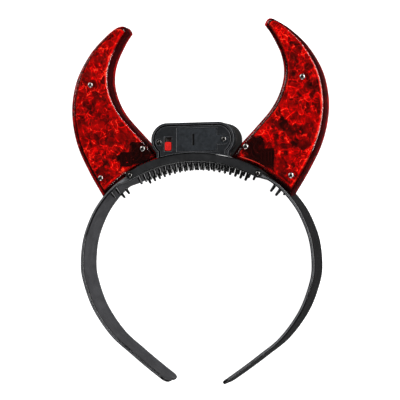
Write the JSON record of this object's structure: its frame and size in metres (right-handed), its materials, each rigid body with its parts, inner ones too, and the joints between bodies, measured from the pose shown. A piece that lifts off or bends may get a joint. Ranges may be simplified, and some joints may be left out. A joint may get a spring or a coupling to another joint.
{
  "type": "devil horns headband",
  "caption": "Springy plastic headband with an inner comb, two curved red horns lined with crinkled foil, and a battery box with slide switch between them.",
  "frame": {"origin": "on the band's far edge, in the middle of its wall at the crown", "axes": "+Z from the far edge to the battery side, +Y from the open end of the band towards the horn tips, +X to the side with the battery door's screw"},
  "size_m": [0.156, 0.2108, 0.0246],
  "materials": {
    "black_plastic": "satin, moulded",
    "cover_plastic": "fine spark-eroded grain",
    "red_plastic": "clear red, polished",
    "red_foil": "crinkled metallised film",
    "lamp_black": "plain",
    "knob_red": "plain",
    "steel": "zinc plated"
  },
  "bodies": {
    "frame": {"band": "black_plastic", "base_strip": "black_plastic", "base_screw_left": "steel", "base_screw_right": "steel", "box_case": "black_plastic", "box_cover": "cover_plastic", "battery_door": "cover_plastic", "switch_body": "steel", "door_screw": "steel", "cover_screw": "steel", "horn_front_left": "red_plastic", "horn_back_left": "red_plastic", "foil_left": "red_foil", "lamp_holder_left": "lamp_black", "horn_screw_upper_left": "steel", "horn_screw_heel_left": "steel", "horn_screw_inner_left": "steel", "horn_front_right": "red_plastic", "horn_back_right": "red_plastic", "foil_right": "red_foil", "lamp_holder_right": "lamp_black", "horn_screw_upper_right": "steel", "horn_screw_heel_right": "steel", "horn_screw_inner_right": "steel"},
    "switch": {"switch_knob": "knob_red"}
  },
  "joints": [
    {"name": "switch_slide", "type": "slide", "parent": "frame", "child": "switch", "axis": [0, 1, 0], "range_m": [0, 0.0028]}
  ]
}
